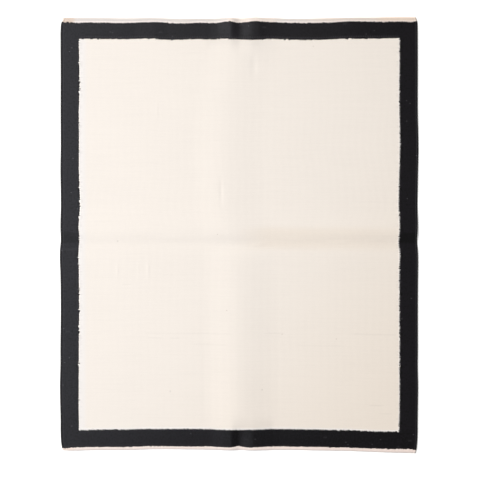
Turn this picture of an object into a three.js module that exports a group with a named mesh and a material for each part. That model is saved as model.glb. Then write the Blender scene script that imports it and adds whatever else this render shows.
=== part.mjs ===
// A flat-woven kilim rug, lying face up as it looks after being unfolded from quarters.
// It is one woven sheet: a field inside a border, selvedges at the sides, rolled hems at the ends.
// Units are millimetres. +X is to the right, +Y towards the far end and +Z up from the floor.
import * as THREE from "three";

// Driving sizes of the cloth
const WIDTH = 1500; // selvedge to selvedge
const LENGTH = 1822; // hem to hem, at mid-width
const THICKNESS = 4; // the plain weave
const COLOUR = 0xe8ddd0; // the cream field, which is most of the face

// Sections across the two kinds of edge. `inset` is the distance from the edge and `thick` the
// height of the face there; `under` is how far the underside is drawn in.
const SELVEDGE = [
  { inset: 0, thick: 2.8, under: 1.4 },
  { inset: 2.5, thick: 4.8, under: 1.4 },
  { inset: 6, thick: 5, under: 0.5 },
  { inset: 10, thick: THICKNESS, under: 0 },
];
const HEM = [
  { inset: 0, thick: 2.8, under: 1.4 },
  { inset: 3, thick: 5.2, under: 1.4 },
  { inset: 7, thick: 5.4, under: 0.5 },
  { inset: 11, thick: 4.5, under: 0 },
  { inset: 15.5, thick: 4.9, under: 0 },
  { inset: 20, thick: THICKNESS, under: 0 },
];

// How far each end stands out past its straight line, along the width.
const ENDS = [
  { x: -750, far: 2.8, near: -7.5 },
  { x: -720, far: 3.1, near: -6 },
  { x: -628, far: 2.9, near: -7.7 },
  { x: -459, far: 1.2, near: -8.8 },
  { x: -375, far: 2.7, near: -11.5 },
  { x: -291, far: 0.2, near: -11.8 },
  { x: -165, far: -0.3, near: -10.2 },
  { x: -100, far: 0.1, near: -9.4 },
  { x: -43, far: 1.2, near: -8.6 },
  { x: 7, far: 0.1, near: -9 },
  { x: 62, far: 3.4, near: -7.7 },
  { x: 135, far: 2, near: -8.8 },
  { x: 215, far: -0.2, near: -9.2 },
  { x: 340, far: 0.3, near: -6.7 },
  { x: 465, far: 3.4, near: -4.8 },
  { x: 591, far: 4.3, near: 0 },
  { x: 675, far: 5.6, near: 2.9 },
  { x: 750, far: 5.2, near: 4.6 },
];

// How far each side stands out past its straight line, along the length. The corners taper in.
const SIDES = [
  { y: -911, left: -9.4, right: -10 },
  { y: -889, left: -3.9, right: -4.7 },
  { y: -868, left: -0.9, right: -2.5 },
  { y: -835, left: 0.9, right: -0.6 },
  { y: -776, left: 1.2, right: -0.2 },
  { y: -692, left: 3.1, right: 0.8 },
  { y: -629, left: 3.6, right: 1.4 },
  { y: -545, left: 1.8, right: 0 },
  { y: -482, left: 1.8, right: 0.5 },
  { y: -314, left: 0.4, right: 0.3 },
  { y: -167, left: 1.8, right: 0.9 },
  { y: -95, left: 4, right: 1.2 },
  { y: -62, left: 3.1, right: 0.1 },
  { y: -24, left: 0.1, right: -2.5 },
  { y: 31, left: 1.5, right: 0.1 },
  { y: 127, left: -0.1, right: -1.1 },
  { y: 190, left: 0.6, right: -0.1 },
  { y: 274, left: 1.8, right: 1.4 },
  { y: 358, left: 0.7, right: 3 },
  { y: 526, left: 1.2, right: 0 },
  { y: 694, left: 1, right: 0.2 },
  { y: 804, left: 1.6, right: -0.1 },
  { y: 862, left: 1.1, right: -0.4 },
  { y: 887, left: -1.3, right: -1.5 },
  { y: 896, left: -5.6, right: -3.5 },
  { y: 911, left: -10.4, right: -9 },
];

// The fold that runs along the rug near mid-width: a low swell, `crest` from the middle and
// `rise` high, with a trough of depth `dip` pressed into it where the ends were creased hardest.
const LONG_FOLD = [
  { y: -911, crest: 8, rise: 7.5, dip: 6.4 },
  { y: -840, crest: 8, rise: 7.5, dip: 5.6 },
  { y: -785, crest: -2, rise: 6.5, dip: 0.6 },
  { y: -500, crest: -6, rise: 6.5, dip: 0 },
  { y: -150, crest: -12, rise: 5.5, dip: 0 },
  { y: -24, crest: -30, rise: 3.5, dip: 0 },
  { y: 150, crest: -55, rise: 4, dip: 0 },
  { y: 450, crest: -60, rise: 3.5, dip: 0 },
  { y: 640, crest: -35, rise: 3, dip: 0 },
  { y: 780, crest: 0, rise: 5.5, dip: 1.6 },
  { y: 850, crest: 12, rise: 8.5, dip: 6.4 },
  { y: 911, crest: 12, rise: 8.5, dip: 7.4 },
];
const SWELL_LEFT = 145; // from the crest to the left foot of the swell
const SWELL_RIGHT = 175; // and to its right foot
const TROUGH_AT = 3; // the trough's line, from the middle
const TROUGH_LEFT = 40;
const TROUGH_RIGHT = 62;
const END_RIDGE = { x: -38, y: 905, half: 58, reach: 115, height: 3.4 }; // beside the trough, at the far end

// The fold straight across the rug: height of the cloth over the floor, by distance from the crease.
const CROSS_CREASE_AT = -42;
const CROSS_FOLD = [
  { from: -190, height: 0 },
  { from: -46, height: 1.4 },
  { from: 0, height: 0 },
  { from: 44, height: 2.2 },
  { from: 175, height: 0 },
];
const CROSS_PRESS = 0.6; // share of the long swell that the crease presses flat
const CROSS_PRESS_HALF = 60;

// Spacing of the sheet's sections
const PLAIN_STEP = 66; // where only the outline wanders
const TROUGH_STEP = 20; // over the long fold, counted both ways from its trough
const TROUGH_STEPS = 9;
const CREASE_STEP = 12; // over the cross fold, each step wider than the last by the growth
const CREASE_GROWTH = 2;
const CREASE_STEPS = 7;
const BORDER_LINES = [45, 78]; // inset of two more sections near each end

// A smooth curve through one column of a table, read at any place along it.
function curveThrough(table, along, column) {
  const places = table.map((row) => row[along]);
  const values = table.map((row) => row[column]);
  const curve = new THREE.CubicInterpolant(places, values, 1, new Float32Array(1));
  const low = places[0];
  const high = places[places.length - 1];
  return (at) => curve.evaluate(THREE.MathUtils.clamp(at, low, high))[0];
}

// The value between two rows of a table, easing in and out at each row and level past the last.
function easedThrough(table, along, column, at) {
  for (let i = 1; i < table.length; i++) {
    const a = table[i - 1];
    const b = table[i];
    const share = THREE.MathUtils.smoothstep(at, a[along], b[along]);
    if (at <= b[along]) return THREE.MathUtils.lerp(a[column], b[column], share);
  }
  return table[table.length - 1][column];
}

// 1 at the middle of a hump, easing to 0 at its foot.
function hump(distance, half) {
  return 1 - THREE.MathUtils.smoothstep(Math.abs(distance), 0, half);
}

const outAt = {
  far: curveThrough(ENDS, "x", "far"),
  near: curveThrough(ENDS, "x", "near"),
  left: curveThrough(SIDES, "y", "left"),
  right: curveThrough(SIDES, "y", "right"),
};
const longFold = {
  crest: curveThrough(LONG_FOLD, "y", "crest"),
  rise: curveThrough(LONG_FOLD, "y", "rise"),
  dip: curveThrough(LONG_FOLD, "y", "dip"),
};

// How high the underside lies over the floor at a place on the rug.
function liftAt(x, y) {
  const fromCrest = x - longFold.crest(y);
  const swell = longFold.rise(y) * hump(fromCrest, fromCrest < 0 ? SWELL_LEFT : SWELL_RIGHT);
  const fromTrough = x - TROUGH_AT;
  const trough = Math.max(0, longFold.dip(y)) * hump(fromTrough, fromTrough < 0 ? TROUGH_LEFT : TROUGH_RIGHT);
  const endRidge = END_RIDGE.height * hump(x - END_RIDGE.x, END_RIDGE.half) * hump(y - END_RIDGE.y, END_RIDGE.reach);
  const fromCrease = y - CROSS_CREASE_AT;
  const pressed = 1 - CROSS_PRESS * hump(fromCrease, CROSS_PRESS_HALF);
  const crossed = easedThrough(CROSS_FOLD, "from", "height", fromCrease);
  return Math.max(0, swell - trough) * pressed + crossed + endRidge;
}

// The thickness or the draw-in at a distance from an edge, in straight steps between the rows.
function sectionAt(section, column, inset) {
  for (let i = 1; i < section.length; i++) {
    const a = section[i - 1];
    const b = section[i];
    if (inset <= b.inset)
      return THREE.MathUtils.mapLinear(inset, a.inset, b.inset, a[column], b[column]);
  }
  return section[section.length - 1][column];
}

// Section lines over half the rug's width or length: the edge's own rows, then even steps.
function edgeLines(half, section, extra, stop) {
  const lines = [...section.map((row) => row.inset), ...extra].map((inset) => half - inset);
  const last = lines[lines.length - 1];
  const steps = Math.max(1, Math.round((last - stop) / PLAIN_STEP));
  for (let i = 1; i < steps; i++) lines.push(last - ((last - stop) * i) / steps);
  return lines;
}

// Lines to both sides of a fold's own line, the k-th of them at k * step + k * k * growth.
function foldLines(middle, step, growth, count) {
  const lines = [middle];
  for (let k = 1; k <= count; k++) {
    const away = k * step + k * k * growth;
    lines.unshift(middle - away);
    lines.push(middle + away);
  }
  return lines;
}

function allLines(half, section, extra, middle) {
  const low = edgeLines(half, section, extra, -middle[0]).map((at) => -at);
  const high = edgeLines(half, section, extra, middle[middle.length - 1]).reverse();
  return [...low, ...middle, ...high];
}

// A place on the sheet moved from the plain rectangle to the real, wandering outline.
function placeAt(x, y) {
  const acrossShare = x / WIDTH + 0.5;
  const alongShare = y / LENGTH + 0.5;
  const shiftX = THREE.MathUtils.lerp(-outAt.left(y), outAt.right(y), acrossShare);
  const shiftY = THREE.MathUtils.lerp(-outAt.near(x), outAt.far(x), alongShare);
  return [x + shiftX, y + shiftY];
}

// One closed sheet: a grid of points for the face, one for the underside, and a rim between them.
function wovenSheet() {
  const overLongFold = foldLines(TROUGH_AT, TROUGH_STEP, 0, TROUGH_STEPS);
  const overCrossFold = foldLines(CROSS_CREASE_AT, CREASE_STEP, CREASE_GROWTH, CREASE_STEPS);
  const columns = allLines(WIDTH / 2, SELVEDGE, [], overLongFold);
  const rows = allLines(LENGTH / 2, HEM, BORDER_LINES, overCrossFold);
  const face = [];
  const underside = [];
  for (const y of rows)
    for (const x of columns) {
      const fromSide = WIDTH / 2 - Math.abs(x);
      const fromEnd = LENGTH / 2 - Math.abs(y);
      const lift = liftAt(x, y);
      const bySide = sectionAt(SELVEDGE, "thick", fromSide);
      const byEnd = sectionAt(HEM, "thick", fromEnd);
      const thinner = Math.min(bySide, byEnd);
      const thick = thinner < THICKNESS ? thinner : Math.max(bySide, byEnd); // rims stay round
      face.push(...placeAt(x, y), lift + thick);
      const underX = x - Math.sign(x) * sectionAt(SELVEDGE, "under", fromSide);
      const underY = y - Math.sign(y) * sectionAt(HEM, "under", fromEnd);
      underside.push(...placeAt(underX, underY), lift);
    }
  const across = columns.length;
  const up = rows.length;
  const below = across * up;
  const triangles = [];
  for (let j = 0; j + 1 < up; j++)
    for (let i = 0; i + 1 < across; i++) {
      const a = j * across + i;
      const b = a + 1;
      const c = a + across;
      const d = c + 1;
      triangles.push(a, b, d, a, d, c);
      triangles.push(below + a, below + d, below + b, below + a, below + c, below + d);
    }
  const rim = [];
  for (let i = 0; i < across; i++) rim.push(i);
  for (let j = 1; j < up; j++) rim.push(j * across + across - 1);
  for (let i = across - 2; i >= 0; i--) rim.push((up - 1) * across + i);
  for (let j = up - 2; j > 0; j--) rim.push(j * across);
  rim.forEach((a, i) => {
    const b = rim[(i + 1) % rim.length];
    triangles.push(below + a, below + b, b, below + a, b, a);
  });
  const geometry = new THREE.BufferGeometry();
  geometry.setAttribute("position", new THREE.Float32BufferAttribute([...face, ...underside], 3));
  geometry.setIndex(triangles);
  return geometry;
}

// The origin is on the floor, under the middle of the rug's box.
function standOnOrigin(geometry) {
  geometry.computeBoundingBox();
  const middle = geometry.boundingBox.getCenter(new THREE.Vector3());
  geometry.translate(-middle.x, -middle.y, -geometry.boundingBox.min.z);
  geometry.computeVertexNormals();
  return geometry;
}

const cloth = new THREE.Mesh(
  standOnOrigin(wovenSheet()),
  new THREE.MeshStandardMaterial({ color: COLOUR, roughness: 0.95, metalness: 0, flatShading: true }),
);
cloth.name = "kilim_cloth";

const kilim = new THREE.Group();
kilim.add(cloth);

export default kilim;
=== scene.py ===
# %% [markdown]
# # A flat-woven kilim, laid out flat
# A kilim has no pile. Weft yarn is packed so tightly over the warps that only the weft
# shows, and each warp stands up under it as a rib. Cream weft makes the field and black
# weft makes the border, all in one cloth.
# This script dresses the imported model, which holds the real size and the folds.

# %% Load the imported model
import math

import bpy
import numpy as np
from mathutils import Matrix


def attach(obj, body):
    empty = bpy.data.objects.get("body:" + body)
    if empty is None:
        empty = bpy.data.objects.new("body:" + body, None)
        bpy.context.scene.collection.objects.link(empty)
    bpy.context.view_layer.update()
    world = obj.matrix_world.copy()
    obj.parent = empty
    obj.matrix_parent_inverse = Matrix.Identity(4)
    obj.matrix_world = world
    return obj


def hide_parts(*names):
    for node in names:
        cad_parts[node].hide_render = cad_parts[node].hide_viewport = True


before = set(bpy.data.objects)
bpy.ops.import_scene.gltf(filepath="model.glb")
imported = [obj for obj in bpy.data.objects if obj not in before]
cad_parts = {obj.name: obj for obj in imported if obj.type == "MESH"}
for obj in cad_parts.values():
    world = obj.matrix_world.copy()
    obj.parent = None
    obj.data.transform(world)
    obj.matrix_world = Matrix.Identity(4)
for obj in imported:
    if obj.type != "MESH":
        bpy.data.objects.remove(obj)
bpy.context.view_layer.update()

MM = 0.001  # the tables below are in millimetres and Blender works in metres

# %% [markdown]
# ## The camera
# The rug was photographed from straight above, and its sides run parallel, so the camera
# was far away. We hang one camera over the rug with a long lens. A yarn tooth in the
# colour joins is 9.7 mm long and covers 2.3 pixels, so a pixel is 4.2 mm of rug: the
# height of the picture on the rug and the camera's height give the lens.

# %% Hang the camera
PIXEL = 4.2  # mm of rug in one pixel
PICTURE = (477, 480)  # pixels across and down
RUG_MIDDLE = (239.16, 235.15)  # the pixel where the middle of the rug lies
CAMERA_HEIGHT = 4.6  # metres over the face of the cloth
FACE_HEIGHT = 5  # mm

eye = bpy.data.cameras.new("overhead_camera")
eye.sensor_fit = "VERTICAL"
eye.sensor_height = eye.sensor_width = 36
eye.lens = eye.sensor_height * CAMERA_HEIGHT / (PICTURE[1] * PIXEL * MM)
camera = bpy.data.objects.new("overhead_camera", eye)
camera.location = (
    (PICTURE[0] / 2 - RUG_MIDDLE[0]) * PIXEL * MM,
    (RUG_MIDDLE[1] - PICTURE[1] / 2) * PIXEL * MM,
    CAMERA_HEIGHT + FACE_HEIGHT * MM,
)
bpy.context.scene.collection.objects.link(camera)
bpy.context.scene.camera = camera
print("lens:", round(eye.lens, 1), "mm")

# %% [markdown]
# ## The light
# Three lights do the work. A low, soft sun from the upper left shades the folds, because
# light that skims a cloth shows every slope. A softbox above the left side makes the
# black yarn gleam there and fade to the right. The sky fills the rest. The floor is
# nearly white and glows a little, so that it reads as plain white paper.

# %% Set the lights
SUN_LOW = 57  # degrees from straight overhead
SUN_FROM = 150  # degrees anticlockwise from the right, so it comes from the upper left
SUN_AWAY = 5  # metres, for its marker alone, because a sun shines alike at any distance
SOFTBOX_AT = (-1.75, 0.35, 3.5)  # metres


def aim(lamp, target):
    direction = np.array(target, float) - np.array(lamp.location, float)
    flat = math.hypot(direction[0], direction[1])
    turn = math.atan2(direction[1], direction[0])
    lamp.rotation_euler = (math.atan2(flat, -direction[2]), 0, turn - math.pi / 2)


def hang_lamp(name, kind, at, target, energy, colour, **settings):
    lamp = bpy.data.lights.new(name, kind)
    lamp.energy = energy
    lamp.color = colour
    for key, value in settings.items():
        setattr(lamp, key, value)
    holder = bpy.data.objects.new(name, lamp)
    holder.location = at
    aim(holder, target)
    bpy.context.scene.collection.objects.link(holder)


low, around = math.radians(SUN_LOW), math.radians(SUN_FROM)
sun_at = [
    SUN_AWAY * math.sin(low) * math.cos(around),
    SUN_AWAY * math.sin(low) * math.sin(around),
    SUN_AWAY * math.cos(low),
]
hang_lamp("low_sun", "SUN", sun_at, (0, 0, 0), 2.9, (1, 0.93, 0.845), angle=math.radians(12))
beside_middle = (0, SOFTBOX_AT[1], 0)
box = {"shape": "RECTANGLE", "size": 4.6, "size_y": 1.2}  # metres along the rug and across it
hang_lamp("left_softbox", "AREA", SOFTBOX_AT, beside_middle, 97, (0.94, 0.99, 1.09), **box)

sky = bpy.data.worlds.new("pale_sky")
sky.use_nodes = True
sky.node_tree.nodes["Background"].inputs["Color"].default_value = (1, 0.95, 0.88, 1)
sky.node_tree.nodes["Background"].inputs["Strength"].default_value = 0.2
bpy.context.scene.world = sky
bpy.context.scene.view_settings.view_transform = "Standard"
print("lights:", [lamp.name for lamp in bpy.data.lights], "and a sky")

# %% [markdown]
# ## Wiring a finish
# A material is a graph of small nodes. Written out by hand that gets long, so `Wire`
# stands for one output in the graph and lets us do sums with it: `1 - mask` or
# `rib * 0.3` adds the Math nodes for us. Every other node comes from `Finish.node`.

# %% Make the wiring tools


class Wire:
    """One output in a finish. Sums with it add Math nodes."""

    def __init__(self, finish, socket):
        self.finish = finish
        self.socket = socket

    def sum(self, operation, *values):
        return self.finish.node("Math", {"operation": operation}, dict(enumerate(values)))

    def __add__(self, other):
        return self.sum("ADD", self, other)

    def __sub__(self, other):
        return self.sum("SUBTRACT", self, other)

    def __rsub__(self, other):
        return self.sum("SUBTRACT", other, self)

    def __mul__(self, other):
        return self.sum("MULTIPLY", self, other)

    def __gt__(self, other):
        return self.sum("GREATER_THAN", self, other)

    def __abs__(self):
        return self.sum("ABSOLUTE", self)

    def floor(self):
        return self.sum("FLOOR", self)

    def fraction(self):
        return self.sum("FRACT", self)

    __radd__ = __add__
    __rmul__ = __mul__


class Finish:
    """A material with an empty graph, ready to be wired."""

    def __init__(self, name):
        self.material = bpy.data.materials.new(name)
        self.material.use_nodes = True
        self.tree = self.material.node_tree
        self.tree.nodes.clear()

    def node(self, kind, settings, sockets, out=0):
        made = self.tree.nodes.new("ShaderNode" + kind)
        for key, value in settings.items():
            setattr(made, key, value)
        for key, value in sockets.items():
            if isinstance(value, Wire):
                self.tree.links.new(value.socket, made.inputs[key])
            else:
                made.inputs[key].default_value = value
        return Wire(self, made.outputs[out]) if made.outputs else made

    def step(self, value, low, high):
        ends = {"Value": value, "From Min": low, "From Max": high}
        return self.node("MapRange", {"interpolation_type": "SMOOTHSTEP"}, ends)

    def tint(self, share, first, second):
        """first where share is 0 and second where it is 1, for colours"""
        sockets = {"Factor": share, 6: first, 7: second}
        return self.node("Mix", {"data_type": "RGBA"}, sockets, out=2)

    def join(self, x, y, z=0.0):
        return self.node("CombineXYZ", {}, {"X": x, "Y": y, "Z": z})

    def noise(self, place, detail):
        return self.node("TexNoise", {}, {"Vector": place, "Scale": 1.0, "Detail": detail})

    def chance(self, place):
        """a random number that stays the same all over one whole-numbered place"""
        return self.node("TexWhiteNoise", {"noise_dimensions": "3D"}, {"Vector": place})

    def finish(self, colour, roughness, height, relief, gloss):
        """relief is the bump's height in metres and gloss how much it mirrors"""
        bump = self.node("Bump", {}, {"Height": height, "Distance": relief, "Strength": 1.0})
        sockets = {"Base Color": colour, "Roughness": roughness, "Normal": bump}
        sockets["Specular IOR Level"] = gloss
        cloth = self.node("BsdfPrincipled", {}, sockets)
        self.node("OutputMaterial", {}, {"Surface": cloth})
        print(self.material.name, "takes", len(self.tree.nodes), "nodes")
        return self.material


# %% [markdown]
# ## The outline
# No kilim is a true rectangle: the ends wander a little as the weaver's tension changes,
# and the sides pull in at the corners. Each table gives, place by place, how far an edge
# stands out past its straight line, or how wide a band is. A smooth curve runs through
# the rows, the same curve that the model's own outline uses.

# %% Give the outline
HALF_WIDTH = 750
HALF_LENGTH = 911

ENDS = {
    "x": [-750, -720, -628, -459, -375, -291, -165, -100, -43, 7, 62, 135, 215, 340, 465, 591, 675, 750],
    "far": [2.8, 3.1, 2.9, 1.2, 2.7, 0.2, -0.3, 0.1, 1.2, 0.1, 3.4, 2, -0.2, 0.3, 3.4, 4.3, 5.6, 5.2],
    "near": [-7.5, -6, -7.7, -8.8, -11.5, -11.8, -10.2, -9.4, -8.6, -9, -7.7, -8.8, -9.2, -6.7, -4.8,
             0, 2.9, 4.6],
}
SIDES = {
    "y": [-911, -889, -868, -835, -776, -692, -629, -545, -482, -314, -167, -95, -62, -24, 31, 127,
          190, 274, 358, 526, 694, 804, 862, 887, 896, 911],
    "left": [-9.4, -3.9, -0.9, 0.9, 1.2, 3.1, 3.6, 1.8, 1.8, 0.4, 1.8, 4, 3.1, 0.1, 1.5, -0.1,
             0.6, 1.8, 0.7, 1.2, 1, 1.6, 1.1, -1.3, -5.6, -10.4],
    "right": [-10, -4.7, -2.5, -0.6, -0.2, 0.8, 1.4, 0, 0.5, 0.3, 0.9, 1.2, 0.1, -2.5, 0.1, -1.1,
              -0.1, 1.4, 3, 0, 0.2, -0.1, -0.4, -1.5, -3.5, -9],
}
END_BANDS = {  # width of the hem and of the black band at each end
    "x": [-750, -735, -703, -627, -543, -375, -333, -249, -165, -132, -81, -56, -31, -6, 20, 45, 70, 95,
          120, 179, 276, 339, 402, 465, 528, 591, 658, 708, 725, 750],
    "far_hem": [16.5, 18.5, 21.5, 20.5, 21.5, 18.5, 18, 22, 18, 20, 18.5, 15, 16.5, 19.5, 18, 17, 16.2,
                17.7, 18.6, 18, 20, 19, 19, 16, 18, 19.5, 20, 20, 21.5, 16],
    "far_black": [68, 68, 68, 68, 67.5, 69.2, 72, 67.8, 68.6, 68.6, 68, 72.4, 73.1, 69.6, 72.8, 76.4, 78,
                  75, 71.4, 71.4, 70.2, 72, 70, 73.8, 70.6, 69.3, 69.3, 68.7, 68.4, 70],
    "near_hem": [9, 9.5, 12.7, 13.4, 13.2, 13, 12.4, 12.2, 13.4, 14.2, 12.5, 11.6, 12, 16.2, 13.3, 11,
                 12.8, 13.8, 15, 14.5, 13.8, 14.8, 13.7, 13.8, 13.7, 15, 15, 17, 17, 12.8],
    "near_black": [73.4, 73.3, 72.4, 72, 72.9, 72.6, 72.3, 73.7, 73.5, 72.9, 72, 73.3, 72.1, 68, 71.3,
                   75, 74.5, 73.7, 73.4, 72.6, 73.3, 72.7, 72.9, 72.8, 71.8, 71.3, 72.7, 73.3, 72.8, 73],
}
SIDE_BANDS = {  # width of the black band at each side
    "y": [-911, -809, -734, -650, -545, -482, -314, -230, -121, -87, -45, -12, 31, 85, 274, 442, 526,
          610, 757, 911],
    "left": [77.7, 77.7, 77.7, 79.4, 78, 78, 78, 77.8, 78.7, 79, 78.5, 79.3, 76.7, 80.2, 78.2, 77.2,
             77.5, 79.8, 78.6, 78.2],
    "right": [77.8, 77.6, 76.5, 77, 76.6, 76, 76.8, 77, 77.3, 76, 77.2, 76.4, 75.2, 77.4, 77.8, 76.4,
              75.8, 76.9, 75.4, 77],
}


def curve_through(table, along, column):
    """A smooth curve through one column, read at any places along it."""
    t, v = np.array(table[along], float), np.array(table[column], float)
    rise = np.diff(v) / np.diff(t)
    slope = np.concatenate([rise[:1], (rise[1:] + rise[:-1]) / 2, rise[-1:]])

    def read(at):
        at = np.clip(at, t[0], t[-1])
        i = np.clip(np.searchsorted(t, at, side="right") - 1, 0, len(rise) - 1)
        span = t[i + 1] - t[i]
        p = (at - t[i]) / span
        held = (2 * p - 3) * p * p
        bent = (slope[i] * (p - 1) + slope[i + 1] * p) * p * (p - 1) * span
        return v[i] * (1 + held) - v[i + 1] * held + bent

    return read


far, near = curve_through(ENDS, "x", "far"), curve_through(ENDS, "x", "near")
left, right = curve_through(SIDES, "y", "left"), curve_through(SIDES, "y", "right")
band = {name: curve_through(END_BANDS, "x", name) for name in END_BANDS if name != "x"}
side_band = {name: curve_through(SIDE_BANDS, "y", name) for name in SIDE_BANDS if name != "y"}
print("length over the hems at mid-width:", round(2 * HALF_LENGTH + float(far(0) + near(0))), "mm")

# %% [markdown]
# ## From the chart to the cloth
# We work as a weaver does, on a chart: a true rectangle on which every warp is a
# straight line and every band has one width. `on_cloth` then carries a place on the
# chart to where it lies on the real, wandering cloth. The warps are 4.85 mm apart.

# %% Draw the chart
WARP = 4.85  # mm from one warp to the next
PASS = 3.2  # mm from one bead of weft to the next along a rib
SIDE_JOIN = 139 * WARP  # chart lines where cream meets black
FAR_JOIN, NEAR_JOIN = 824, -825
FAR_HEM, NEAR_HEM = 893.5, -896  # and where black meets the hems


def carried(at, lines, moved):
    """Places `at`, carried along as each of the lines goes to its moved place."""
    lines = np.array(lines, float)
    i = np.clip(np.searchsorted(lines, at) - 1, 0, len(lines) - 2)
    share = (at - lines[i]) / (lines[i + 1] - lines[i])
    low_end = np.choose(i, moved[:-1])
    return low_end + (np.choose(i, moved[1:]) - low_end) * share


def on_cloth(x, y):
    edge_left, edge_right = -HALF_WIDTH - left(y), HALF_WIDTH + right(y)
    edge_near, edge_far = -HALF_LENGTH - near(x), HALF_LENGTH + far(x)
    near_hem, far_hem = edge_near + band["near_hem"](x), edge_far - band["far_hem"](x)
    columns = [
        edge_left,
        edge_left + side_band["left"](y),
        edge_right - side_band["right"](y),
        edge_right,
    ]
    rows = [
        edge_near,
        near_hem,
        near_hem + band["near_black"](x),
        far_hem - band["far_black"](x),
        far_hem,
        edge_far,
    ]
    across = carried(x, [-HALF_WIDTH, -SIDE_JOIN, SIDE_JOIN, HALF_WIDTH], columns)
    along = carried(y, [-HALF_LENGTH, NEAR_HEM, NEAR_JOIN, FAR_JOIN, FAR_HEM, HALF_LENGTH], rows)
    return across, along


walk_x, walk_y = np.linspace(-HALF_WIDTH, HALF_WIDTH, 301), np.linspace(-HALF_LENGTH, HALF_LENGTH, 365)
sides_x = np.concatenate([on_cloth(np.full_like(walk_y, s * HALF_WIDTH), walk_y)[0] for s in (-1, 1)])
ends_y = np.concatenate([on_cloth(walk_x, np.full_like(walk_x, s * HALF_LENGTH))[1] for s in (-1, 1)])
MIDDLE = ((sides_x.min() + sides_x.max()) / 2, (ends_y.min() + ends_y.max()) / 2)
print("middle of the outline's box:", [round(float(v), 2) for v in MIDDLE], "mm")

# %% [markdown]
# ## The folds
# The rug was stored folded in quarters, and the cloth remembers it: a long low swell
# runs down the middle, pressed in where the ends were creased hardest, and a crease
# crosses it. Both are soft bumps of a few millimetres, so each is one smooth hump, and
# the rows say where it runs. Simulated cloth would fold where it likes, and these folds
# are known.

# %% Press in the folds
LONG_FOLD = {
    "y": [-911, -840, -785, -500, -150, -24, 150, 450, 640, 780, 850, 911],
    "crest": [8, 8, -2, -6, -12, -30, -55, -60, -35, 0, 12, 12],
    "rise": [6.8, 6.8, 7.6, 6.2, 5.1, 3.5, 4, 3.5, 3, 4.3, 8.5, 8.5],
    "dip": [6.4, 5.6, 0.6, 0, 0, 0, 0, 0, 0, 0.8, 6.4, 7.4],
}
SWELL_LEFT, SWELL_RIGHT = 145, 175
TROUGH_AT, TROUGH_LEFT, TROUGH_RIGHT = 3, 40, 62
CROSS_CREASE_AT = -42
CROSS_FOLD = {"from": [-190, -46, 0, 44, 175], "height": [0, 1, 0, 2.2, 0]}
CROSS_PRESS, CROSS_PRESS_HALF = 0.6, 60

crest, rise = curve_through(LONG_FOLD, "y", "crest"), curve_through(LONG_FOLD, "y", "rise")
dip = curve_through(LONG_FOLD, "y", "dip")


def smooth(share):
    share = np.clip(share, 0, 1)
    return share * share * (3 - 2 * share)


def hump(distance, half):
    """1 on the line of a fold, easing to 0 at its foot"""
    return 1 - smooth(np.abs(distance) / half)


def cross_height(at):
    height = np.zeros_like(at)
    places, heights = CROSS_FOLD["from"], CROSS_FOLD["height"]
    for a, b, low_side, high_side in zip(places, places[1:], heights, heights[1:]):
        eased = low_side + (high_side - low_side) * smooth((at - a) / (b - a))
        height = np.where((at > a) & (at <= b), eased, height)
    return height


def fold_height(x, y):
    """How high the cloth's underside lies over the floor, in mm."""
    from_crest = x - crest(y)
    swell = rise(y) * hump(from_crest, np.where(from_crest < 0, SWELL_LEFT, SWELL_RIGHT))
    from_trough = x - TROUGH_AT
    trough = np.maximum(0, dip(y)) * hump(from_trough, np.where(from_trough < 0, TROUGH_LEFT, TROUGH_RIGHT))
    from_crease = y - CROSS_CREASE_AT
    pressed = 1 - CROSS_PRESS * hump(from_crease, CROSS_PRESS_HALF)
    return np.maximum(0, swell - trough) * pressed + cross_height(from_crease)


print("the long swell is up to", max(LONG_FOLD["rise"]), "mm high")

# %% [markdown]
# ## Small wrinkles
# The cloth keeps a few short wrinkles too: a ridge beside the far end of the long fold, a
# broad low wave at the far right, creases along the line where it was folded over, and
# some single ribs that stand up or lie low. Each is a soft ridge, given one by one, or a
# trough where its height is below zero.

# %% Add the small wrinkles
WRINKLES = [  # centre, direction in degrees from the width, length, half breadth, height, in mm
    {"x": -38, "y": 905, "turn": 90, "length": 230, "half": 58, "height": 3.4},
    {"x": 84, "y": 890, "turn": 90, "length": 200, "half": 34, "height": 1.6},
    {"x": 470, "y": 905, "turn": 90, "length": 200, "half": 290, "height": 2.2},
    {"x": 560, "y": 12, "turn": 0, "length": 900, "half": 38, "height": 1.5},
    {"x": -77, "y": 180, "turn": 90, "length": 160, "half": 12, "height": -0.9},
    {"x": 60, "y": 715, "turn": 95, "length": 100, "half": 26, "height": -1.1},
    {"x": -346, "y": 530, "turn": 93, "length": 90, "half": 9, "height": 0.5},
    {"x": -383, "y": -152, "turn": 90, "length": 90, "half": 9, "height": 0.6},
    {"x": -512, "y": -150, "turn": 91, "length": 60, "half": 8, "height": 0.5},
    {"x": -548, "y": -112, "turn": 89, "length": 60, "half": 8, "height": 0.4},
    {"x": -424, "y": -140, "turn": 90, "length": 60, "half": 7, "height": 0.4},
    {"x": 332, "y": -262, "turn": 90, "length": 190, "half": 12, "height": -0.5},
    {"x": 90, "y": -40, "turn": 8, "length": 110, "half": 9, "height": 0.7},
    {"x": 235, "y": -22, "turn": -6, "length": 130, "half": 10, "height": 0.7},
    {"x": 420, "y": -34, "turn": 5, "length": 150, "half": 9, "height": 0.6},
    {"x": 580, "y": -20, "turn": -4, "length": 90, "half": 9, "height": 0.6},
    {"x": -430, "y": -30, "turn": 4, "length": 120, "half": 9, "height": 0.5},
    {"x": -280, "y": -18, "turn": -5, "length": 90, "half": 9, "height": 0.5},
]


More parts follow.
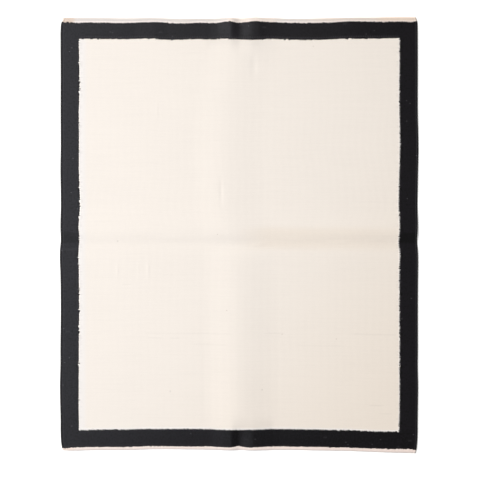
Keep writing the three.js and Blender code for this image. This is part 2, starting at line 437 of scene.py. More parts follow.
def wrinkle_height(x, y):
    total = np.zeros_like(x)
    for w in WRINKLES:
        cos, sin = math.cos(math.radians(w["turn"])), math.sin(math.radians(w["turn"]))
        along = (x - w["x"]) * cos + (y - w["y"]) * sin
        off = (y - w["y"]) * cos - (x - w["x"]) * sin
        total += w["height"] * hump(along, w["length"] / 2) * hump(off, w["half"])
    return total


print(len(WRINKLES), "wrinkles, the highest", max(w["height"] for w in WRINKLES), "mm")

# %% [markdown]
# ## Edges and ribs
# At the sides the weft turns back round a thick edge warp, which leaves a round cord.
# At the ends the warps are turned back into a narrow hem of two rolls. Between them
# every warp makes a rib. Each is a height added to the face, by the distance from the
# edge or from the nearest warp.

# %% Shape the edges
THICKNESS = 4
SELVEDGE = {"inset": [0, 2.5, 6, 9.5, 13], "thick": [2.8, 4.7, 5, 3.7, 4], "under": [1.4, 1.4, 0.5, 0, 0]}
HEM = {
    "inset": [0, 3, 7, 10.5, 13.5, 17, 20],
    "thick": [2.8, 5.1, 5.3, 4.3, 5, 4.2, 4],
    "under": [1.4, 1.4, 0.5, 0, 0, 0, 0],
}
RIB = 0.25  # mm, half the way from the top of a rib down to the groove beside it
PLAIN_EDGE, RIBS_FADE = 8, 4  # mm from the side with no ribs, and then until they are full
HEM_DEPTH = 20  # mm from the end where the ribs are half as high


def section(table, column, inset):
    return np.interp(inset, table["inset"], table[column])


def insets(x, y):
    """Distance from the nearest side and from the nearest end."""
    return HALF_WIDTH - np.abs(x), HALF_LENGTH - np.abs(y)


def face_thickness(x, y):
    from_side, from_end = insets(x, y)
    by_side, by_end = section(SELVEDGE, "thick", from_side), section(HEM, "thick", from_end)
    thinner = np.minimum(by_side, by_end)
    thick = np.where(thinner < THICKNESS - 0.15, thinner, np.maximum(by_side, by_end))
    ribbed = smooth((from_side - PLAIN_EDGE) / RIBS_FADE) * np.where(from_end < HEM_DEPTH, 0.5, 1)
    return thick + RIB * np.cos(2 * np.pi * x / WARP) * ribbed


print(round(2 * HALF_WIDTH / WARP), "ribs, each", 2 * RIB, "mm high")

# %% [markdown]
# ## Teeth in the colour joins
# Where the weft changes colour the two yarns share the warps turn by turn, so the join
# isn't a line but a row of small teeth: one warp cream, the next one black. Down the
# sides the two colours turn round the same warp in small packs, which makes longer and
# looser teeth. No two are alike, so each tooth gets its own depth from a seeded draw.

# %% Cut the teeth
HALF_WARPS = 309  # chart columns each way from the middle, two to a warp
TOOTH_STEP = 2.4  # mm between two points along a side join
draw = np.random.default_rng(11)


def end_teeth(depth):
    """How far each chart column of an end join is pushed along the warps."""
    columns = np.arange(-HALF_WARPS - 1, HALF_WARPS + 2)
    warps = np.floor_divide(columns, 2)
    count = warps.max() - warps.min() + 1
    sides = np.cumprod(np.where(draw.random(count) < 0.8, -1, 1))  # most warps change sides
    depths = draw.choice([0.5, 1, 1.7], count, p=[0.3, 0.4, 0.3]) * depth
    own = (sides * depths)[warps - warps.min()]
    between = columns[1:-1] % 2 == 1
    own[1:-1][between] = (own[:-2] + own[2:])[between] / 2
    return dict(zip(columns.tolist(), own.tolist()))


def side_teeth(count, depth):
    """How far each point of a side join is pushed across the warps."""
    phase = np.cumsum(draw.uniform(0.2, 0.3, count))
    depths = draw.choice([0.4, 0.8, 1.2, 2], int(phase[-1]) + 2, p=[0.2, 0.3, 0.3, 0.2]) * depth
    return np.sin(2 * np.pi * phase) * depths[phase.astype(int)]


TEETH_AT_ENDS = {
    FAR_JOIN: end_teeth(1.8),
    NEAR_JOIN: end_teeth(1.9),
    FAR_HEM: end_teeth(1.4),
    NEAR_HEM: end_teeth(1.3),
}
tooth_count = round((FAR_JOIN - NEAR_JOIN) / TOOTH_STEP)
side_points = np.linspace(NEAR_JOIN, FAR_JOIN, tooth_count + 1)
TEETH_AT_SIDES = {-SIDE_JOIN: side_teeth(tooth_count + 1, 2.3), SIDE_JOIN: side_teeth(tooth_count + 1, 2.3)}
print(tooth_count, "points down each side join")

# %% [markdown]
# ## Building a piece of cloth
# A piece is a face, an underside and a rim between them, all closed. The face has two
# columns of points to a warp, one on the rib and one in the groove, and few rows,
# because ribs run straight along the rug. A toothed side join needs many more points
# than that. `lace` joins two chains of points that have different spacing, as a baker's
# string joins two rows of hooks, so only the join itself is fine.

# %% Make the builder


class Cloth:
    """One layer of a piece: pins at places on the chart, and the faces between them."""

    def __init__(self):
        self.pins = {}
        self.faces = []

    def pin(self, x, y):
        return self.pins.setdefault((round(float(x), 3), round(float(y), 3)), len(self.pins))

    def grid(self, columns, rows):
        for y, above in zip(rows, rows[1:]):
            low_row = [self.pin(x, y) for x in columns]
            high_row = [self.pin(x, above) for x in columns]
            for i in range(len(columns) - 1):
                self.faces.append((low_row[i], low_row[i + 1], high_row[i + 1], high_row[i]))

    def lace(self, left_chain, right_chain):
        """Triangles between two upright chains of places, the left one first."""
        i = j = 0
        a, b = [self.pin(*p) for p in left_chain], [self.pin(*p) for p in right_chain]
        while i < len(a) - 1 or j < len(b) - 1:
            left_next = left_chain[i + 1][1] if i < len(a) - 1 else math.inf
            right_next = right_chain[j + 1][1] if j < len(b) - 1 else math.inf
            if left_next <= right_next:
                self.faces.append((a[i], b[j], a[i + 1]))
                i += 1
            else:
                self.faces.append((a[i], b[j], b[j + 1]))
                j += 1

    def rim(self):
        """The edges that only one face has, in that face's own order."""
        edges = {}
        for face in self.faces:
            for a, b in zip(face, face[1:] + face[:1]):
                if edges.pop((b, a), None) is None:
                    edges[a, b] = True
        return list(edges)

    def places(self):
        return np.array(list(self.pins), float)


def pushed(places):
    """Chart places with the teeth cut into the joins."""
    moved = places.copy()
    for y, teeth in TEETH_AT_ENDS.items():
        on = np.flatnonzero(np.abs(places[:, 1] - y) < 0.01)
        reach = SIDE_JOIN + 0.5 if abs(y) < 850 else HALF_WIDTH - 6
        for n in on[np.abs(places[on, 0]) < reach]:
            moved[n, 1] += teeth.get(round(places[n, 0] / WARP * 2), 0)
    for x, teeth in TEETH_AT_SIDES.items():
        on = np.flatnonzero(np.abs(places[:, 0] - x) < 0.01)
        on = on[(places[on, 1] > NEAR_JOIN + 1) & (places[on, 1] < FAR_JOIN - 1)]
        moved[on, 0] += np.interp(places[on, 1], side_points, teeth)
    return moved


def lie(x, y):
    """How high the underside lies with the folds and the wrinkles together."""
    return np.maximum(fold_height(x, y) + wrinkle_height(x, y), 0)


def face_points(places):
    x, y = pushed(places).T
    return np.stack([*on_cloth(x, y), lie(x, y) + face_thickness(x, y)], 1)


def underside_points(places):
    x, y = pushed(places).T
    from_side, from_end = insets(x, y)
    drawn_x = x - np.sign(x) * section(SELVEDGE, "under", from_side)
    drawn_y = y - np.sign(y) * section(HEM, "under", from_end)
    grooves = RIB * (1 - np.cos(2 * np.pi * drawn_x / WARP)) * smooth((from_side - PLAIN_EDGE) / RIBS_FADE)
    return np.stack([*on_cloth(drawn_x, drawn_y), lie(x, y) + grooves], 1)


# %% [markdown]
# ## Sewing a piece together
# The two layers become one closed mesh, with a wall from rim to rim. Every corner of it
# gets two maps. Yarn counts warps and beads, for the weave, and OFBake says where the
# corner lies on the square picture that the finish is later painted onto.

# %% Make the sewing tools


def face_of_each_corner(mesh, corner_count):
    starts = np.empty(len(mesh.polygons), int)
    mesh.polygons.foreach_get("loop_start", starts)
    return np.searchsorted(starts, np.arange(corner_count), side="right") - 1


def add_map(mesh, name, places):
    mesh.uv_layers.new(name=name).uv.foreach_set("vector", places.astype(np.float32).ravel())


def sewn(name, face, underside, layout):
    """The mesh object of a piece, from its two layers. layout lays it on the OFBake map."""
    top, low_side = face.places(), underside.places()
    points = np.concatenate([face_points(top), underside_points(low_side)])
    points[:, :2] -= MIDDLE
    shift = len(top)
    below = [shift + underside.pins[place] if place in underside.pins else None for place in face.pins]
    walls = [(b, a, below[a], below[b]) for a, b in face.rim()]
    turned_over = [tuple(shift + v for v in reversed(f)) for f in underside.faces]
    polygons = face.faces + turned_over + walls

    mesh = bpy.data.meshes.new(name)
    mesh.from_pydata((points * MM).tolist(), [], polygons)
    mesh.polygons.foreach_set("use_smooth", [True] * len(polygons))
    corner = np.empty(len(mesh.loops), int)
    mesh.loops.foreach_get("vertex_index", corner)
    charted = np.concatenate([top, low_side])[corner]
    add_map(mesh, "Yarn", charted / (WARP, PASS))
    below_rim = np.zeros(len(corner), bool)
    below_rim[-4 * len(walls):] = (np.arange(4 * len(walls)) % 4) > 1
    owner = face_of_each_corner(mesh, len(corner))
    centre = np.stack([np.bincount(owner, charted[:, k]) / np.bincount(owner) for k in (0, 1)], 1)[owner]
    add_map(mesh, "OFBake", layout(charted, centre, below_rim))
    mesh.validate()
    piece = bpy.data.objects.new(name, mesh)
    bpy.context.scene.collection.objects.link(piece)
    print(name, "has", sum(len(f) - 2 for f in polygons), "triangles")
    return piece


# %% [markdown]
# ## A map for each piece
# The finish of each piece is later painted onto a square picture. A kilim looks the same
# on both sides, so its face and underside share one place on that picture, which leaves
# twice as much room for the weave. The border would waste the square as a hollow frame,
# so it is cut into strips that lie side by side, and so are the hems.

# %% Lay the pieces on their maps
MARGIN = 0.012  # of the picture, kept free round each strip
SLACK = 0.01  # mm past a strip's end where a face still counts as inside it


def one_field(places, centre, below_rim):
    spread = places / (2 * SIDE_JOIN, FAR_JOIN - NEAR_JOIN) + 0.5
    grown = np.where(below_rim[:, None], 1.004, 1.0)
    return 0.5 + (spread - 0.5) * grown * (1 - 3 * MARGIN)


def in_strips(strips):
    """Lays out strips given as (axis, low and high along it, low and high across it)."""

    def layout(places, centre, below_rim):
        spread = np.full(places.shape, 0.5)
        for row, (axis, start, end, low_side, high_side) in enumerate(strips):
            other = 1 - axis
            inside = (centre[:, axis] >= start - SLACK) & (centre[:, axis] < end + SLACK)
            inside &= (centre[:, other] >= low_side - SLACK) & (centre[:, other] < high_side + SLACK)
            u = (places[inside, axis] - start) / (end - start)
            v = (places[inside, other] - low_side) / (high_side - low_side)
            v = np.where(below_rim[inside], v * 1.05 - 0.025, v)
            spread[inside, 0] = 2 * MARGIN + u * (1 - 4 * MARGIN)
            spread[inside, 1] = (row + 0.06 + v * 0.88) / len(strips)
        return spread

    return layout


# %% [markdown]
# ## Rows and columns
# The field, the border and the two hems share their join points exactly, so no gap shows
# between them from any side. Columns stand on every rib and in every groove. Rows can be
# far apart, because ribs run straight, and come closer only beside the joins and over
# the cross crease, where the cloth bends.

# %% Choose the rows and columns
FIELD_COLUMN, BAND_COLUMN, EDGE_COLUMN = 276, 280, 308  # the join is at column 278
FIRST_ROW, SECOND_ROW = 4.7, 9  # mm from a join to the rows beside it
FACE_STEP, UNDERSIDE_STEP, EDGE_STEP = 22, 44, 3.2  # mm from row to row
CREASE_ROWS = (-110, -84, -62, -46, -34, -24, -15, -7, 0, 7, 14, 22, 31, 41, 52, 68, 92)


def chart_columns(first, last):
    return [k * WARP / 2 for k in range(first, last + 1)]


def rows_between(low_row, high_row, step, fine):
    """Even rows, with the fine ones put in where they lie between the two ends."""
    count = max(1, round((high_row - low_row) / step))
    rows = [low_row + (high_row - low_row) * i / count for i in range(count + 1)]
    rows = [y for y in rows if all(abs(y - f) > step * 0.3 for f in fine) or y in (low_row, high_row)]
    return sorted(rows + [f for f in fine if low_row < f < high_row])


beside_joins = [NEAR_JOIN + FIRST_ROW, NEAR_JOIN + SECOND_ROW, FAR_JOIN - SECOND_ROW, FAR_JOIN - FIRST_ROW]
over_crease = [CROSS_CREASE_AT + d for d in CREASE_ROWS]
face_rows = rows_between(NEAR_JOIN, FAR_JOIN, FACE_STEP, beside_joins + over_crease)
underside_rows = rows_between(NEAR_JOIN, FAR_JOIN, UNDERSIDE_STEP, beside_joins + over_crease[::2])
print(len(face_rows), "rows over the face and", len(underside_rows), "under it")


def upright(x, ys):
    return [(x, float(y)) for y in ys]


# %% [markdown]
# ## The field
# The cream middle of the cloth, from join to join. A plain rectangle with the teeth
# painted on would be simpler, but paint blurs when we come close. So one even grid
# carries the ribs, and a narrow strip of lacing down each side ends in real teeth.

# %% Weave the field


def field_layer(rows):
    cloth = Cloth()
    columns = chart_columns(-FIELD_COLUMN, FIELD_COLUMN)
    cloth.grid(columns, rows)
    cloth.lace(upright(-SIDE_JOIN, side_points), upright(columns[0], rows))
    cloth.lace(upright(columns[-1], rows), upright(SIDE_JOIN, side_points))
    return cloth


field = sewn("kilim_field", field_layer(face_rows), field_layer(underside_rows), one_field)

# %% [markdown]
# ## The border
# The black zone is the same cloth with another weft, so it has no mitres or seams. Four
# strips would be easier to make, but their ends would have to be matched by hand. In one
# mesh the two end bands and the two side bands share their points. The outer edge follows
# the wandering selvedge, so it has close rows of its own.

# %% Weave the border
FAR_ROWS = [FAR_JOIN, FAR_JOIN + FIRST_ROW, FAR_JOIN + SECOND_ROW, 845, 858, 871, 882, FAR_HEM - 3, FAR_HEM]
NEAR_ROWS = [NEAR_HEM, NEAR_HEM + 3, -885, -873, -860, -847]
NEAR_ROWS += [NEAR_JOIN - SECOND_ROW, NEAR_JOIN - FIRST_ROW, NEAR_JOIN]


def border_layer(rows, far_rows, near_rows):
    cloth = Cloth()
    across = chart_columns(-EDGE_COLUMN, EDGE_COLUMN)
    left_band = chart_columns(-EDGE_COLUMN, -BAND_COLUMN)
    right_band = chart_columns(BAND_COLUMN, EDGE_COLUMN)
    cloth.grid(across, near_rows)
    cloth.grid(across, far_rows)
    cloth.grid(left_band, rows)
    cloth.grid(right_band, rows)
    cloth.lace(upright(left_band[-1], rows), upright(-SIDE_JOIN, side_points))
    cloth.lace(upright(SIDE_JOIN, side_points), upright(right_band[0], rows))
    every_row = near_rows[:-1] + rows + far_rows[1:]
    edge = np.linspace(NEAR_HEM, FAR_HEM, round((FAR_HEM - NEAR_HEM) / EDGE_STEP) + 1)
    cloth.lace(upright(-HALF_WIDTH, edge), upright(across[0], every_row))
    cloth.lace(upright(across[-1], every_row), upright(HALF_WIDTH, edge))
    return cloth


SPARE = 2  # mm of room beside a strip on the map
side_zones = [(-HALF_WIDTH - 1, -SIDE_JOIN + SPARE), (SIDE_JOIN - SPARE, HALF_WIDTH + 1)]
end_zones = [(FAR_JOIN - SPARE, FAR_HEM + SPARE), (NEAR_HEM - SPARE, NEAR_JOIN + SPARE)]
border_strips = [(1, *half, *zone) for zone in side_zones for half in ((-HALF_LENGTH, 0), (0, HALF_LENGTH))]
border_strips += [(0, *half, *zone) for zone in end_zones for half in ((-SIDE_JOIN, 0), (0, SIDE_JOIN))]
border_face = border_layer(face_rows, FAR_ROWS, NEAR_ROWS)
border_underside = border_layer(underside_rows, FAR_ROWS[::4], NEAR_ROWS[::4])
border = sewn("kilim_border", border_face, border_underside, in_strips(border_strips))

# %% [markdown]
# ## The hems
# At each end the weaver stops the weft, turns the pale web back and rolls it into a
# narrow hem. A round cord could be laid there, but a hem is part of its cloth. So it is
# the same two layers again, its rolls come from the edge sections above, and it only
# needs rows that are close enough to show them.

# %% Roll the hems
HEM_ROWS = [0, 1.2, 3, 5, 7, 9, 10.5, 12, 13.5, 15.5]  # mm from the edge of the rug
LAST_ROW = 3  # mm that the rows keep from the join
QUARTER = 375.2  # mm, a quarter of the width and a little more


def hem_layer(rows):
    cloth = Cloth()
    cloth.grid([-HALF_WIDTH] + chart_columns(-EDGE_COLUMN, EDGE_COLUMN) + [HALF_WIDTH], rows)
    return cloth


def hem(name, edge, join):
    """A hem from the join out to the edge of the rug."""
    step = -math.copysign(1, edge)
    reach = abs(edge - join)
    rows = sorted([edge + step * d for d in HEM_ROWS if d < reach - LAST_ROW] + [join])
    zone = sorted((edge - step * SPARE, join + step * SPARE))
    strips = [(0, n * QUARTER, (n + 1) * QUARTER, *zone) for n in (-2, -1, 0, 1)]
    return sewn(name, hem_layer(rows), hem_layer(rows), in_strips(strips))


hem_far = hem("kilim_hem_far", HALF_LENGTH, FAR_HEM)
hem_near = hem("kilim_hem_near", -HALF_LENGTH, NEAR_HEM)

# %% [markdown]
# ## The weave
# Seen close, each rib is a row of weft beads, and each row is half a bead off the next
# one, because the yarn that goes over one warp goes under its neighbour. The map called
# Yarn counts warps across and beads along, so the bead pattern is a little arithmetic.
# The same weave serves every yarn, and only the colours and the small faults differ.

# %% Write the weave down


def weave(finish):
    """The parts of a weave: the chart place, and the heights of ribs and of beads."""
    warps = finish.node("SeparateXYZ", {}, {"Vector": finish.node("UVMap", {"uv_map": "Yarn"}, {})})
    beads = Wire(finish, warps.socket.node.outputs[1])
    loose = finish.noise(finish.join(warps * 0.35, beads * 0.35), 2.0)
    rib_number = (warps + 0.5).floor()
    off_rib = warps - rib_number
    rib = 1 - off_rib * off_rib * 4
    run = beads + rib_number * 0.5 + loose * 0.35
    bead_number = run.floor()
    off_bead = run - bead_number - 0.5
    bead = 1 - off_bead * off_bead * 4
    return {
        "warps": warps,
        "beads": beads,
        "rib": rib,
        "bead": bead,
        "cell": finish.join(rib_number, bead_number),
        "line": (beads * 0.5 + 0.25).floor(),
    }


def streaks(finish, w, length, thick, seed):
    """Noise that runs along the weft: length in warps, thick in beads."""
    return finish.noise(finish.join(w["warps"] * (1 / length), w["beads"] * (1 / thick), seed), 1.0)


def hairs(finish, w):
    """Noise finer than one bead, for the loose hairs of the yarn."""
    return finish.noise(finish.join(w["warps"] * 2.2, w["beads"] * 2.2), 4.0)


def patch(finish, w, place):
    """1 over the warps from first to last, fading in from bead row start to row full."""
    left_side = finish.step(w["warps"], place["first"] - 4.0, place["first"] + 2.0)
    right_side = finish.step(w["warps"], place["last"] + 4.0, place["last"] - 2.0)
    return left_side * right_side * finish.step(w["beads"], place["start"], place["full"])


NONE_OF_IT = (0.0, 0.0, 0.0, 1)  # the colour that a shade of 0 gives
print("a bead is", WARP, "x", PASS, "mm")

# %% [markdown]
# ## The cream weft
# Undyed yarn is never one flat colour. Each pass is a little lighter or darker than the
# last, and a few lengths of greyer yarn went in. Painted shade darkens the cream along the
# cross crease, where the long fold meets the joins, and towards the near right corner. An
# image could hold all that, but arithmetic on the Yarn map stays sharp at any size.
# `shade` starts near 1 and every fault or painted shade takes a little away, and `yarn` is
# the colour that it darkens.

# %% Note where the cream wanders
# Lengths of greyer yarn, in mm on the chart: the middle, half the length and the fading
# end. A depth below zero is a paler length.
THICK_PICKS = {
    "x": [-214, 146, 570, -120, 340, 574, 614, -420, -356, -356, -272, -473, -473, -290, 96, -513],
    "y": [-420, -420, -418, -466, -470, -716, -750, 300, -432, -439, -440, -213, -218, -665, -657, -29],
    "half": [180, 36, 94, 70, 100, 28, 22, 80, 28, 28, 19, 19, 19, 3, 3, 3],
    "soft": [20, 20, 20, 20, 20, 20, 20, 20, 6, 6, 6, 6, 6, 2, 2, 2],
    "depth": [0.03, 0.035, 0.03, 0.02, 0.02, 0.045, 0.04, 0.015, -0.02, 0.03, 0.03, 0.03, -0.02,
              0.14, 0.14, 0.14],
}
# Painted shade where the long fold meets a join: darker cream patches, in warps and bead rows.
FOLD_END_SHADE = [  # darker places where the long fold meets a join, in warps and bead rows
    {"first": -28, "last": 16, "start": 243, "full": 257, "darker": 0.05},
    {"first": 2, "last": 28, "start": -236, "full": -256, "darker": 0.07},
]
# Painted shade along the right half of the cross crease, a little warmer, centred here.
CREAM_CREASE_SHADE_AT = -17  # mm along the chart, for the right half of the cross crease
LAST_CREAM_WARP = 137  # where the cream weft turns back at a side join

# %% Dye the cream weft


def cream_shade(finish, w, slub, fibre, bead_tone, cream_crease_shade, by_end):
    faint = streaks(finish, w, 70, 2.6, 8.0)
    blotch = finish.noise(finish.join(w["warps"] * 0.02, w["beads"] * 0.013), 2.0)
    shade = 0.93 + w["rib"] * 0.05 + w["bead"] * 0.03
    shade = shade + (slub - 0.5) * 0.045 + (faint - 0.5) * 0.035 + (blotch - 0.5) * 0.03
    shade = shade + (fibre - 0.5) * 0.03 + (bead_tone - 0.5) * 0.015
    for x, y, half, soft, depth in zip(*THICK_PICKS.values()):
        along = finish.step(abs(w["warps"] - x / WARP), (half + soft) / WARP, (half - soft) / WARP)
        shade = shade - along * finish.step(abs(w["beads"] - y / PASS), 1.5, 0.6) * depth
    # painted shade where the long fold meets the joins
    for place in FOLD_END_SHADE:
        shade = shade - patch(finish, w, place) * place["darker"]
    turns = finish.step(abs(abs(w["warps"]) - LAST_CREAM_WARP), 1.2, 0.5)
    turn = finish.chance(finish.join((w["beads"] * 0.5).floor(), 7.0))
    return shade - cream_crease_shade * 0.02 + by_end * 0.03 + turns * (turn - 0.4) * 0.14


def cream_finish():
    finish = Finish("cream_weave")
    w = weave(finish)
    slub = streaks(finish, w, 26, 1.1, 3.0)
    thick_yarn = finish.step(slub, 0.7, 0.76)
    fibre = hairs(finish, w)
    bead_tone = finish.chance(w["cell"])
    # painted shade along the right half of the cross crease
    cream_crease_shade = finish.step(abs(w["beads"] - CREAM_CREASE_SHADE_AT / PASS), 20.0, 8.0) * finish.step(w["warps"], -10.0, 30.0)
    by_end = finish.step(w["beads"], NEAR_JOIN / PASS + 3.0, NEAR_JOIN / PASS + 1.6)
    shade = cream_shade(finish, w, slub, fibre, bead_tone, cream_crease_shade, by_end) - thick_yarn * 0.035
    # painted shade: the cream turns darker and warmer towards the near right corner
    corner_shade = finish.step(w["warps"] - w["beads"] * 0.54, 20.0, 300.0)  # towards the near right corner
    yarn = finish.tint(corner_shade, (0.82, 0.772, 0.714, 1), (0.792, 0.728, 0.652, 1))
    yarn = finish.tint(cream_crease_shade, yarn, (0.81, 0.745, 0.668, 1))
    by_left_join = finish.step(w["warps"], -131.0, -136.0)
    yarn = finish.tint(by_left_join, yarn, (0.806, 0.779, 0.752, 1))
    by_join = by_end.sum("MAXIMUM", by_end, finish.step(w["warps"], 137.4, 138.6))
    yarn = finish.tint(by_join * 0.8, yarn, (0.88, 0.86, 0.84, 1))
    speck = bead_tone > 0.99994
    colour = finish.tint(speck * 0.3, finish.tint(shade, NONE_OF_IT, yarn), (0.25, 0.17, 0.11, 1))
    height = w["rib"] * 0.5 + w["bead"] * w["rib"] * 0.35 + (fibre - 0.5) * 0.2 + thick_yarn * 0.2
    return finish.finish(colour, 0.92, height, 0.0003, 0.3)


cream = cream_finish()

# %% [markdown]
# ## The black weft
# Dyed black yarn is nearly as dark as velvet, so what we see on it is its gleam and what
# lies on top: small tufts that catch the light, pale lint, dust where the rug is walked
# on, and a lighter stitch where the weft turns. The black stays one very dark colour, and
# a share of pale grey covers it where there is lint or a painted highlight: on the far band
# over the long fold and beside the cross crease. Painted shade darkens the black in the
# cross crease and on the near band right of the middle.

# %% Note what lies on the black
# Painted shade on the black in the cross crease, centred here.
BLACK_CREASE_SHADE_AT = -13  # mm along the chart
# A painted highlight on the left band, just nearer than the cross crease.
CREASE_HIGHLIGHT_AT = -62  # mm along the chart, on the left band
DOTTED_AT = 833  # mm along the chart, a row of pale stitches beside the far join
DOTTED_END = 138  # the warp where that row stops at either side
LAST_BLACK_WARP = 140.7  # where the black weft turns back at a side join
CORD_WARP = -152.7  # the paler edge warp of the left selvedge
# Painted shade on the near black band, right of the middle.
NEAR_BAND_SHADE = {"first": -12, "last": 150, "start": NEAR_JOIN / PASS + 4, "full": NEAR_JOIN / PASS}
# Painted highlights on the far band over the long fold: paler patches, in warps and bead rows, with their
# share of pale grey.
FAR_BAND_HIGHLIGHTS = [  # paler places in the far band, in warps and bead rows, and how much lint
    {"first": -89, "last": -75, "start": 200, "full": 210, "lint_and_highlight": 0.009},
    {"first": -62, "last": 6, "start": 200, "full": 210, "lint_and_highlight": 0.009},
    {"first": -9, "last": 2, "start": 200, "full": 210, "lint_and_highlight": 0.013},
]

# %% Dye the black weft


def black_shade(finish, w, tuft, fibre, bead_tone):
    slub = streaks(finish, w, 22, 1.1, 21.0)
    shade = 0.75 + w["rib"] * 0.15 + w["bead"] * 0.1 + (slub - 0.5) * 0.5
    shade = shade + (fibre - 0.5) * 0.5 + (bead_tone - 0.5) * 0.25
    shade = shade + finish.step(tuft, 0.52, 0.64) * 1.2 - finish.step(tuft, 0.47, 0.36) * 0.6
    turns = finish.step(abs(abs(w["warps"]) - LAST_BLACK_WARP), 0.9, 0.4)
    turn = finish.chance(finish.join((w["beads"] * 0.45).floor(), 9.0))
    return shade + turns * finish.step(turn, 0.6, 0.9) * 4 - turns * finish.step(turn, 0.4, 0.1)


# Lint, dust and stitches on the black, together with painted highlights over the fold and beside the crease.
def lint_and_highlight_on_black(finish, w, bead_tone, stitches):
    dash = finish.chance(finish.join(w["line"], (w["warps"] * 0.3).floor()))
    lint_and_highlight = (bead_tone > 0.9985) * 0.12 + (dash > 0.9975) * 0.03 + stitches * 0.05
    dusty = finish.step(w["warps"], 2.0, 9.0) * finish.step(w["warps"], 110.0, 85.0) * (w["beads"] > 0.0)
    lint_and_highlight = lint_and_highlight + dusty * (1 - finish.step(w["warps"], 20.0, 50.0) * 0.4) * 0.011
    # painted highlights on the far band over the long fold
    for place in FAR_BAND_HIGHLIGHTS:
        lint_and_highlight = lint_and_highlight + patch(finish, w, place) * place["lint_and_highlight"]
    cord = finish.step(abs(w["warps"] - CORD_WARP), 0.8, 0.4)
    # painted highlight beside the cross crease on the left band
    crease_highlight = finish.step(abs(w["beads"] - CREASE_HIGHLIGHT_AT / PASS), 2.2, 0.9)
    crease_highlight = crease_highlight * finish.step(w["warps"], -100.0, -120.0)
    return lint_and_highlight + cord * 0.03 + crease_highlight * 0.013


def black_finish():
    finish = Finish("black_weave")
    w = weave(finish)
    tuft = finish.noise(finish.join(w["warps"] * 0.75, w["beads"] * 0.42), 1.0)
    fibre = hairs(finish, w)
    bead_tone = finish.chance(w["cell"])
    # painted shade in the cross crease
    black_crease_shade = finish.step(abs(w["beads"] - BLACK_CREASE_SHADE_AT / PASS), 8.5, 5.5)
    # painted shade on the near band right of the middle
    near_band_shade = patch(finish, w, NEAR_BAND_SHADE)
    shade = black_shade(finish, w, tuft, fibre, bead_tone) * (1 - black_crease_shade * 0.75) * (1 - near_band_shade * 0.45)
    dotted = finish.step(abs(w["beads"] - DOTTED_AT / PASS), 1.3, 0.7)
    dotted = dotted * finish.step(abs(w["warps"]), DOTTED_END + 0.5, DOTTED_END - 0.5)
    every_other = (w["warps"] * 0.5).fraction() > 0.5
    lint_and_highlight = lint_and_highlight_on_black(finish, w, bead_tone, dotted * every_other)
    dark = finish.tint(shade, NONE_OF_IT, (0.006, 0.0052, 0.0074, 1))
    colour = finish.tint(lint_and_highlight, dark, (0.35, 0.34, 0.37, 1))
    roughness = 0.43 + (tuft - 0.5) * -0.3 + dotted * (1 - every_other) * 0.2 + black_crease_shade * 0.03
    height = w["rib"] * 0.5 + w["bead"] * w["rib"] * 0.35 + (fibre - 0.5) * 0.2
    return finish.finish(colour, roughness, height, 0.0002, 0.228)


black = black_finish()

# %% [markdown]
# ## The hem's yarn
# The hems are of another yarn, pinker and browner than the cream weft. One even pink
# would look like ribbon. On the real one the roll at the outer edge is greyer than the
# web inside it, the right end of the far hem has turned tan, and the left ends are
# browner. Painted light makes the far hem paler over the long fold and the outer edge of
# the near hem paler. Each of these is a tint laid over the last one.

# %% Dye the hem
INNER_FROM, INNER_FULL = 10.5, 13  # mm from the end, where the roll gives way to the web
# Painted light: the outer edge of the near hem is made paler against the shade of its roll.
EDGE_LIGHT_FROM, EDGE_LIGHT_FULL = 4, 1  # mm from the near end, where loose hairs make it paler
TAN_FROM, TAN_FULL = 560, 620  # mm across the chart, at the right end of the far hem
BROWN_FROM, BROWN_FULL = -690, -715  # mm across the chart, at the left ends
PINKEST_AT = 240  # mm across the chart, on the near hem


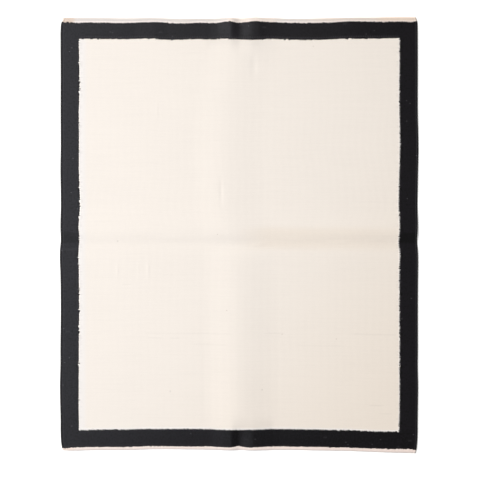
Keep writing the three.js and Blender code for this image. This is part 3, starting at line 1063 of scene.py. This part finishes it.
def hem_finish():
    finish = Finish("hem_weave")
    w = weave(finish)
    fibre = hairs(finish, w)
    bead_tone = finish.chance(w["cell"])
    along = streaks(finish, w, 12, 3, 5.0)
    shade = 0.9 + w["rib"] * 0.08 + (fibre - 0.5) * 0.06 + (bead_tone - 0.5) * 0.05 + (along - 0.5) * 0.08
    out = abs(w["beads"])
    inner = finish.step(out, (HALF_LENGTH - INNER_FROM) / PASS, (HALF_LENGTH - INNER_FULL) / PASS)
    yarn = finish.tint(inner, (0.715, 0.67, 0.635, 1), (0.91, 0.84, 0.8, 1))
    far_side = w["beads"] > 0.0
    right_end = finish.step(w["warps"], TAN_FROM / WARP, TAN_FULL / WARP)
    left_end = finish.step(w["warps"], BROWN_FROM / WARP, BROWN_FULL / WARP)
    yarn = finish.tint(left_end, yarn, (0.7, 0.585, 0.5, 1))
    pink = (1 - far_side) * (0.65 + finish.step(w["warps"], 0.0, PINKEST_AT / WARP) * 0.3)
    yarn = finish.tint(pink, yarn, (0.82, 0.71, 0.665, 1))
    # painted light: the far hem is paler and warmer over the long fold's swell
    ridge_light = far_side * finish.step(w["warps"], -14.0, -8.0) * finish.step(w["warps"], 38.0, 26.0)
    yarn = finish.tint(ridge_light * 0.5, yarn, (0.95, 0.82, 0.72, 1))
    # painted light on the near hem's outer edge
    near_edge_light = finish.step(out, (HALF_LENGTH - EDGE_LIGHT_FROM) / PASS, (HALF_LENGTH - EDGE_LIGHT_FULL) / PASS)
    yarn = finish.tint((1 - far_side) * near_edge_light, yarn, (0.95, 0.87, 0.84, 1))
    browner = finish.step(w["warps"], 50.0, 80.0) * (1 - right_end) * 0.4
    tan = far_side * (right_end + browner) * (1 - inner * 0.5)
    yarn = finish.tint(tan, yarn, (0.79, 0.66, 0.56, 1))
    height = w["rib"] * 0.6 + (fibre - 0.5) * 0.25
    return finish.finish(finish.tint(shade, NONE_OF_IT, yarn), 0.92, height, 0.0006, 0.3)


hem_yarn = hem_finish()

# %% [markdown]
# ## Dressing
# Each piece takes its yarn.

# %% Dress the pieces
for piece, material, slot in (
    (field, cream, "cream_weave"),
    (border, black, "black_weave"),
):
    piece.data.materials.append(material)
for piece in (hem_far, hem_near):
    piece.data.materials.append(hem_yarn)
print("the field is cream, the border black and the hems pink")

# %% [markdown]
# ## The floor
# The photograph has a plain white ground. The floor is one flat sheet of white that
# glows slightly, so the rug lies on it without a hard shadow.

# %% Lay the floor
FLOOR_HALF, FLOOR_DROP = 9, 0.0006  # metres, and the drop keeps it just clear of the cloth
floor_mesh = bpy.data.meshes.new("floor")
around_middle = ((-1, -1), (1, -1), (1, 1), (-1, 1))
floor_corners = [(x * FLOOR_HALF, y * FLOOR_HALF, -FLOOR_DROP) for x, y in around_middle]
floor_mesh.from_pydata(floor_corners, [], [(0, 1, 2, 3)])
floor = bpy.data.objects.new("floor", floor_mesh)
bpy.context.scene.collection.objects.link(floor)
paper = Finish("white_paper")
sheet = paper.node(
    "BsdfPrincipled",
    {},
    {
        "Base Color": (0.9, 0.9, 0.89, 1),
        "Roughness": 1.0,
        "Specular IOR Level": 0.0,
        "Emission Color": (1, 1, 0.98, 1),
        "Emission Strength": 0.35,
    },
)
paper.node("OutputMaterial", {}, {"Surface": sheet})
floor_mesh.materials.append(paper.material)
print("floor:", 2 * FLOOR_HALF, "m square")

# %% [markdown]
# ## Handing over
# Each piece rides on the rug's one body and stands for the model's cloth, which is hidden.

# %% Say what each piece is
for piece in (field, border, hem_far, hem_near):
    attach(piece, "root")
    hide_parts("kilim_cloth")
